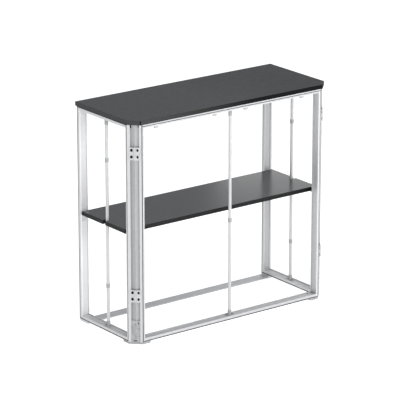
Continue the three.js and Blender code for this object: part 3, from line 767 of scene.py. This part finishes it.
def pale_tube_finish():
    finish, tree, shader, place = new_finish("pale_tube")
    drawing = (300.0, 300.0, 3.0)
    stretched = wire(tree, "ShaderNodeMapping", None, Vector=place, Scale=drawing).outputs["Vector"]
    drawn = use_group(tree, drawn_lines, Vector=stretched)
    blotch = use_group(tree, mottling, Vector=place, Scale=18.0, Contrast=2.2).outputs["Mask"]
    lined = mix_colours(tree, drawn.outputs["Lines"], tube_dark, tube_light)
    tube = mix_colours(tree, blotch, lined, tube_blotch)
    tree.links.new(tube, shader.inputs["Base Color"])
    shader.inputs["Metallic"].default_value = 0.4
    roughness = span(tree, drawn.outputs["Lines"], at_start=0.34, at_end=0.46)
    tree.links.new(roughness, shader.inputs["Roughness"])
    bump(tree, shader, drawn.outputs["Height"], strength=0.08, distance=0.0001)
    return finish


pale_tube = pale_tube_finish()
tube_radius = 0.007
tube_bore = 0.0058
tube_ease = 0.0003
collar_radius = 0.0085
collar_bore = 0.0073
collar_ease = 0.0004
sleeve_radius = 0.0083
sleeve_bore = 0.0073
sleeve_ease = 0.0005
sleeve_mouth = 0.0004
sleeve_flare = 0.0011
flare_step = 0.0004
flare_rise = 0.0013
socket_plate = 0.003
plate_corner = 0.0022
plate_ease = 0.0005
plate_rim_share = 0.965
socket_floor = 0.002
socket_screw_out = 0.0138
socket_screw_radius = 0.0026
socket_screw_height = 0.0011
socket_cross_turn = 0.4


def eased_ring(inner, outer, low, high, ease):
    return [(inner, low + ease), (inner + ease, low), (outer - ease, low), (outer, low + ease),
            (outer, high - ease), (outer - ease, high), (inner + ease, high), (inner, high - ease)]


# A plate with a sleeve rising from it. It is made standing on z = 0 about the origin.
def socket_shape(half_x, half_y, height):
    socket = bmesh.new()
    bmesh.ops.create_grid(socket, x_segments=1, y_segments=1, size=1.0)
    bmesh.ops.scale(socket, vec=(half_x, half_y, 1), verts=socket.verts)
    bmesh.ops.bevel(socket, geom=list(socket.verts), offset=plate_corner, segments=4, profile=0.5,
                    affect="VERTICES", clamp_overlap=True, material=-1)
    rim = [edge for edge in socket.edges if edge.is_boundary]
    rim = grow_ring(socket, rim, 1.0, socket_plate - plate_ease)
    rim = grow_ring(socket, rim, plate_rim_share, plate_ease)
    flared_radius = sleeve_radius + sleeve_flare
    ring = bmesh.ops.create_circle(socket, cap_ends=False, radius=flared_radius, segments=48,
                                   matrix=Matrix.Translation((0, 0, socket_plate)))["verts"]
    foot = list({edge for point in ring for edge in point.link_edges})
    close_ring(socket, rim, foot)
    shrink = sleeve_radius / flared_radius
    mouth_radius = sleeve_bore + sleeve_mouth
    sleeve_bands = [
        ((1 + shrink) / 2, flare_step),
        (2 * shrink / (1 + shrink), flare_rise - flare_step),
        (1.0, height - socket_plate - flare_rise - sleeve_ease),
        (1 - sleeve_ease / sleeve_radius, sleeve_ease),
        (mouth_radius / (sleeve_radius - sleeve_ease), 0.0),
        (sleeve_bore / mouth_radius, -sleeve_mouth),
        (1.0, socket_floor - height + sleeve_mouth),
    ]
    ring = foot
    for narrowing, rise in sleeve_bands:
        ring = grow_ring(socket, ring, narrowing, rise)
    bmesh.ops.edgeloop_fill(socket, edges=ring)
    bmesh.ops.recalc_face_normals(socket, faces=socket.faces)
    return socket


pole_parts = {
    "front": (("lower", "upper"), ("collar",)),
    "left": (("lower", "middle", "upper"), ("lower_collar", "upper_collar")),
    "right": (("lower", "middle", "upper"), ("lower_collar", "upper_collar")),
}
for word, (length_words, collar_words) in pole_parts.items():
    for length_word in length_words:
        node = f"{word}_pole_{length_word}_tube"
        low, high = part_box(node)
        centre = (low + high) / 2
        tube = bmesh.new()
        tube_outline = eased_ring(tube_bore, tube_radius, low.z, high.z, tube_ease)
        turned(tube, tube_outline, centre.x, centre.y, closed=True)
        make_piece(tube, f"{node}_drawn", f"{word}_pole", [pale_tube], [node])
    for collar_word in collar_words:
        node = f"{word}_pole_{collar_word}"
        low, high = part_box(node)
        centre = (low + high) / 2
        collar = bmesh.new()
        collar_outline = eased_ring(collar_bore, collar_radius, low.z, high.z, collar_ease)
        turned(collar, collar_outline, centre.x, centre.y, closed=True)
        make_piece(collar, f"{node}_moulded", f"{word}_pole", [grey_plastic], [node])
    for end in ("bottom", "top"):
        node = f"{word}_pole_{end}_socket"
        low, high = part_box(node)
        centre = (low + high) / 2
        body = "front_frame" if word == "front" else f"{word}_frame"
        half_x, half_y = (high.x - low.x) / 2, (high.y - low.y) / 2
        socket = socket_shape(half_x, half_y, high.z - low.z)
        if end == "bottom":
            place = Matrix.Translation((centre.x, centre.y, low.z))
        else:
            place = Matrix.Translation((centre.x, centre.y, high.z)) @ Matrix.Rotation(math.pi, 4, "X")
        socket.transform(place)
        make_piece(socket, f"{node}_moulded", body, [grey_plastic], [node])
        screws = bmesh.new()
        runs_along = Vector((1, 0, 0)) if half_x > half_y else Vector((0, 1, 0))
        for way in (-1, 1):
            offset = way * socket_screw_out * runs_along + Vector((0, 0, socket_plate))
            head = screw_head(socket_screw_radius, socket_screw_height, socket_cross_turn + way)
            add_at(screws, head, place @ Matrix.Translation(offset))
        make_piece(screws, f"{word}_pole_{end}_socket_screws", body, [black_screw])

# Shelf brackets
# Small angles, bent from steel strip and plated like the hinges. They stand in the stiles' channels, and
# each carries one corner of the shelf.
bracket_edge = 0.0004
for word in ("left", "right"):
    for end in ("front", "back"):
        node = f"{word}_{end}_shelf_bracket"
        bracket = eased_copy(node, bracket_edge)
        make_piece(bracket, f"{node}_bent", f"{word}_frame", [plated_steel], [node])

# Shelf
# A 19 mm board faced with black laminate and edged in black. It lies on the brackets halfway up, and a
# notch in each end lets the side pole pass.
board_rubbed = (0.12, 0.12, 0.12)
board_dust = (0.35, 0.34, 0.33)
smoother = 0.006
rougher = 0.012


# A finish given painted light along x, if asked for, has its lighter colour, and the x from which and to
# which its colour turns to it
def laminate_finish(name, dark, light, roughness, shine, pebble, painted_light_along_x=None):
    finish, tree, shader, place = new_finish(name)
    blotch = use_group(tree, mottling, Vector=place, Scale=5.0, Contrast=2.4).outputs["Mask"]
    smudge = use_group(tree, mottling, Vector=place, Scale=26.0, Contrast=3.2).outputs["Mask"]
    wear = use_group(tree, edge_wear, Vector=place, Amount=0.1).outputs["Mask"]
    dust = use_group(tree, settled_dust, Vector=place, Scale=40.0, Amount=0.06).outputs["Mask"]
    pressed = mix_colours(tree, blotch, dark, light)
    # Painted light: the colour turns lighter along x, standing in for the light that falls on that end
    if painted_light_along_x:
        colour, unlit_x, fully_lit_x = painted_light_along_x
        along = wire(tree, "ShaderNodeSeparateXYZ", None, Vector=place).outputs["X"]
        pressed = mix_colours(tree, span(tree, along, start=unlit_x, end=fully_lit_x), pressed, colour)
    worn = mix_colours(tree, wear, pressed, board_rubbed)
    dusty = mix_colours(tree, dust, worn, board_dust)
    tree.links.new(dusty, shader.inputs["Base Color"])
    smudged = span(tree, smudge, at_start=roughness - smoother, at_end=roughness + rougher)
    tree.links.new(smudged, shader.inputs["Roughness"])
    shader.inputs["Specular IOR Level"].default_value = shine
    grain = use_group(tree, fine_grain, Vector=place, Scale=pebble).outputs["Height"]
    bump(tree, shader, grain, strength=0.05, distance=0.0001)
    return finish


shelf_laminate = laminate_finish("shelf_laminate", roughness=0.26, shine=0.5, pebble=900.0,
                                 dark=(0.0135, 0.0135, 0.014), light=(0.0165, 0.0165, 0.017))
board_edging = laminate_finish("board_edging", roughness=0.45, shine=0.15, pebble=700.0,
                               dark=(0.006, 0.006, 0.0063), light=(0.01, 0.01, 0.0103))
board_edge = 0.0003
flat_enough = 0.6


# A board's faces that look up or down take its first finish, and its edges the second
def board_shape(node):
    board = eased_copy(node, board_edge)
    for face in board.faces:
        face.material_index = 0 if abs(face.normal.z) > flat_enough else 1
    return board


shelf_finishes = [shelf_laminate, board_edging]
make_piece(board_shape("shelf"), "shelf_board", "shelf", shelf_finishes, ["shelf"])

# Turn buttons
# Four moulded pale grey catches sit under the front top rail. Each shank stands in a hole through the rail,
# and its thin upright wing is turned by hand.
button_edge = 0.0008
pale_plastic = plastic_finish("pale_plastic", dark=(0.42, 0.42, 0.425), light=(0.5, 0.5, 0.505))
for number in (1, 2, 3, 4):
    node = f"turn_button_{number}"
    button = eased_copy(node, button_edge)
    make_piece(button, f"{node}_moulded", node, [pale_plastic], [node])

# Tabletop
# A 19 mm board like the shelf, with its two front corners cut. Its edging is a thin black strip glued
# round the board, with a dark upright line on the left cut. The top is laminate. Top and edging are
# painted lighter towards the left, standing in for the light that falls on that end.
top_laminate = laminate_finish("top_laminate", roughness=0.36, shine=0.21, pebble=900.0,
                               dark=(0.0028, 0.0028, 0.0029), light=(0.0042, 0.0042, 0.0043),
                               painted_light_along_x=((0.0325, 0.0325, 0.033), 0.36, -0.08))
top_edging = laminate_finish("top_edging", roughness=0.45, shine=0.07, pebble=700.0,
                             dark=(0.002, 0.002, 0.0021), light=(0.004, 0.004, 0.0041),
                             painted_light_along_x=((0.05, 0.05, 0.0505), 0.1, -0.45))
dark_line_black = laminate_finish("edging_dark_line", roughness=0.6, shine=0.05, pebble=700.0,
                              dark=(0.001, 0.001, 0.001), light=(0.003, 0.003, 0.003))
top_finishes = [top_laminate, top_edging, dark_line_black]
top_board = board_shape("tabletop")
# A near black band on the left cut's edging, between these two reaches along the cut
dark_line_start = 0.0248
dark_line_end = 0.0294
corner_facing = Vector((-1, -1, 0)).normalized()
along_corner = Vector((1, -1, 0)).normalized()
corner_middle = Vector((-0.513, -0.191, 0.99))
facing_alike = 0.99
for reach in (dark_line_start, dark_line_end):
    faces = [face for face in top_board.faces if face.normal.dot(corner_facing) > facing_alike]
    corners = {point for face in faces for point in face.verts}
    sides = {edge for face in faces for edge in face.edges}
    bmesh.ops.bisect_plane(top_board, geom=faces + list(sides) + list(corners), dist=merge_within,
                           plane_co=corner_middle + along_corner * reach, plane_no=along_corner)
for face in top_board.faces:
    reach = (face.calc_center_median() - corner_middle).dot(along_corner)
    if face.normal.dot(corner_facing) > facing_alike and dark_line_start < reach < dark_line_end:
        face.material_index = top_finishes.index(dark_line_black)
make_piece(top_board, "tabletop_board", "tabletop", top_finishes, ["tabletop"])

# Channel screws
# Small blackened steel screws with domed heads hold the bottom rails to the corner posts. They stand in the
# rails' channels, one in each rail beside each corner post.
channel_screw_radius = 0.003
channel_screw_height = 0.0014
front_cross_turn = 0.6
side_cross_turn = 0.9
channel_floor = 0.0243
channel_middle = 0.023
front_screw_x = 0.449
front_screw_back = 0.032
side_screw_y = -0.126
for word, side in (("left", -1), ("right", 1)):
    screws = bmesh.new()
    seat = Matrix.Translation((side * front_screw_x, -frame_half_depth + front_screw_back, channel_floor))
    add_at(screws, screw_head(channel_screw_radius, channel_screw_height, front_cross_turn * side), seat)
    make_piece(screws, f"front_rail_{word}_screw", "front_frame", [black_screw])
    screws = bmesh.new()
    seat = Matrix.Translation((side * (frame_half_width - channel_middle), side_screw_y, channel_floor))
    add_at(screws, screw_head(channel_screw_radius, channel_screw_height, side_cross_turn * side), seat)
    make_piece(screws, f"{word}_rail_screw", f"{word}_frame", [black_screw])
